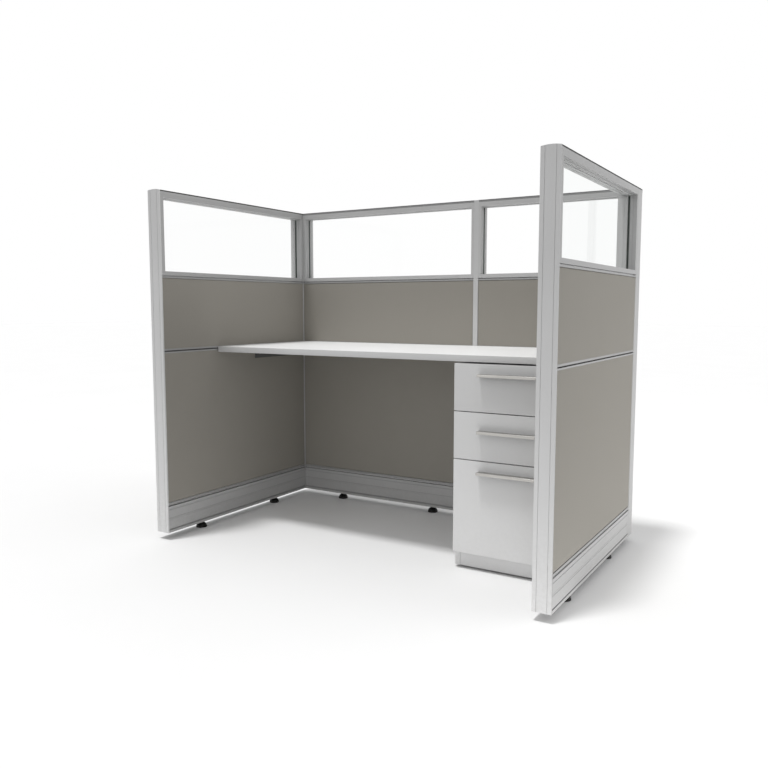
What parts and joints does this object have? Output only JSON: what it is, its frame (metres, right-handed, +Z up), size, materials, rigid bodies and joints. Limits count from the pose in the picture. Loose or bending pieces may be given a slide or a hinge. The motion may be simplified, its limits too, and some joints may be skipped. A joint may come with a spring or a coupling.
{
  "type": "cubicle workstation",
  "caption": "Three-sided office cubicle of upholstered panels with clear glazing on top, a white worksurface and a drawer pedestal with full-extension drawers.",
  "frame": {"origin": "on the floor, in the middle of the width and the depth", "axes": "+X to the right and +Y to the back, as seen by the person who sits at it, +Z up"},
  "size_m": [1.646, 0.968, 1.384],
  "materials": {
    "panel_steel": "satin powder coat",
    "glazing_frame": "satin silver paint",
    "glass": "clear",
    "cap_trim": "satin silver paint",
    "fabric": "fine warm grey weave",
    "base_cover": "satin silver paint",
    "gasket": "matt",
    "tile_trim": "satin silver paint",
    "corner_post": "satin silver paint",
    "end_trim": "satin silver paint",
    "joint_post": "satin silver paint",
    "foot": "moulded",
    "fastener": "zinc plated",
    "worksurface": "white laminate on particle board",
    "edge_band": "matt",
    "support": "satin grey powder coat",
    "pedestal_case": "satin painted board",
    "pedestal_kick": "satin painted board",
    "drawer_front": "satin painted board",
    "drawer_box": "satin painted board",
    "pull": "satin nickel",
    "slide_steel": "zinc plated"
  },
  "bodies": {
    "workstation": {"left_frame": "panel_steel", "back_wide_frame": "panel_steel", "back_narrow_frame": "panel_steel", "right_frame": "panel_steel", "left_glazing_frame": "glazing_frame", "back_wide_glazing_frame": "glazing_frame", "back_narrow_glazing_frame": "glazing_frame", "right_glazing_frame": "glazing_frame", "left_glass": "glass", "back_wide_glass": "glass", "back_narrow_glass": "glass", "right_glass": "glass", "left_top_cap": "cap_trim", "back_wide_top_cap": "cap_trim", "back_narrow_top_cap": "cap_trim", "right_top_cap": "cap_trim", "left_inner_tiles": "fabric", "back_wide_inner_tiles": "fabric", "back_narrow_inner_tiles": "fabric", "right_inner_tiles": "fabric", "left_outer_tiles": "fabric", "back_wide_outer_tiles": "fabric", "back_narrow_outer_tiles": "fabric", "right_outer_tiles": "fabric", "left_base_covers": "base_cover", "back_wide_base_covers": "base_cover", "back_narrow_base_covers": "base_cover", "right_base_covers": "base_cover", "glazing_gaskets": "gasket", "tile_edge_trims": "tile_trim", "left_corner_post": "corner_post", "right_corner_post": "corner_post", "corner_post_caps": "cap_trim", "left_end_trim": "end_trim", "right_end_trim": "end_trim", "inline_joint_post": "joint_post", "levelling_feet": "foot", "levelling_stems": "fastener", "worksurface": "worksurface", "worksurface_edge_band": "edge_band", "worksurface_supports": "support", "assembly_fasteners": "fastener", "pedestal_case": "pedestal_case", "pedestal_kick": "pedestal_kick", "slide_case_members": "slide_steel"},
    "top_drawer": {"top_drawer_front": "drawer_front", "top_drawer_box": "drawer_box", "top_drawer_pull": "pull", "top_drawer_slide_members": "slide_steel"},
    "top_slide_middle": {"top_slide_middle_members": "slide_steel"},
    "middle_drawer": {"middle_drawer_front": "drawer_front", "middle_drawer_box": "drawer_box", "middle_drawer_pull": "pull", "middle_drawer_slide_members": "slide_steel"},
    "middle_slide_middle": {"middle_slide_middle_members": "slide_steel"},
    "file_drawer": {"file_drawer_front": "drawer_front", "file_drawer_box": "drawer_box", "file_drawer_pull": "pull", "file_drawer_slide_members": "slide_steel"},
    "file_slide_middle": {"file_slide_middle_members": "slide_steel"}
  },
  "joints": [
    {"name": "top_drawer_slide", "type": "slide", "parent": "workstation", "child": "top_drawer", "axis": [0, -1, 0], "range_m": [0, 0.48]},
    {"name": "top_slide_middle_slide", "type": "slide", "parent": "workstation", "child": "top_slide_middle", "axis": [0, -1, 0], "range_m": [0, 0.24]},
    {"name": "middle_drawer_slide", "type": "slide", "parent": "workstation", "child": "middle_drawer", "axis": [0, -1, 0], "range_m": [0, 0.48]},
    {"name": "middle_slide_middle_slide", "type": "slide", "parent": "workstation", "child": "middle_slide_middle", "axis": [0, -1, 0], "range_m": [0, 0.24]},
    {"name": "file_drawer_slide", "type": "slide", "parent": "workstation", "child": "file_drawer", "axis": [0, -1, 0], "range_m": [0, 0.48]},
    {"name": "file_slide_middle_slide", "type": "slide", "parent": "workstation", "child": "file_slide_middle", "axis": [0, -1, 0], "range_m": [0, 0.24]}
  ],
  "couplings": [
    {"joint": "top_slide_middle_slide", "follows": "top_drawer_slide", "ratio": 0.5},
    {"joint": "middle_slide_middle_slide", "follows": "middle_drawer_slide", "ratio": 0.5},
    {"joint": "file_slide_middle_slide", "follows": "file_drawer_slide", "ratio": 0.5}
  ]
}
